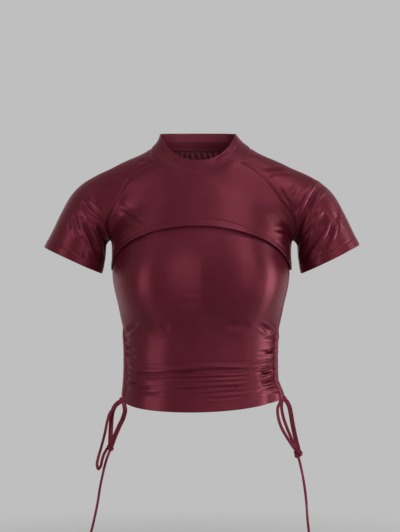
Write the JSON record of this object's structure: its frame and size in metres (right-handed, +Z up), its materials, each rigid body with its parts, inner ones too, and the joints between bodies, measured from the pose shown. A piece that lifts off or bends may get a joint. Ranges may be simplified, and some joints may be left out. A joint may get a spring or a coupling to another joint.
{
  "type": "crop top",
  "caption": "Short-sleeved satin jersey crop top with a stand collar, a raglan upper layer arched over a fitted tube body, and side drawcords that ruche the waist.",
  "frame": {"origin": "on the centre line, level with the foot of the neck, where the wearer's shoulders hold the garment", "axes": "+Z up, the front of the garment faces -Y, +X is to the right of someone who looks at its front"},
  "size_m": [0.534, 0.2321, 0.7316],
  "materials": {
    "satin": "satin",
    "cord": "satin"
  },
  "bodies": {
    "root": {"collar": "satin", "yoke_front": "satin", "yoke_back": "satin", "sleeve_left": "satin", "sleeve_right": "satin", "body_front": "satin", "body_back": "satin", "channel_left": "satin", "channel_right": "satin", "cord_left_outer": "cord", "cord_left_inner": "cord", "cord_left_loop": "cord", "cord_left_tail": "cord", "knot_left": "cord", "cord_right_outer": "cord", "cord_right_inner": "cord", "cord_right_loop": "cord", "cord_right_tail": "cord", "knot_right": "cord"}
  },
  "joints": []
}
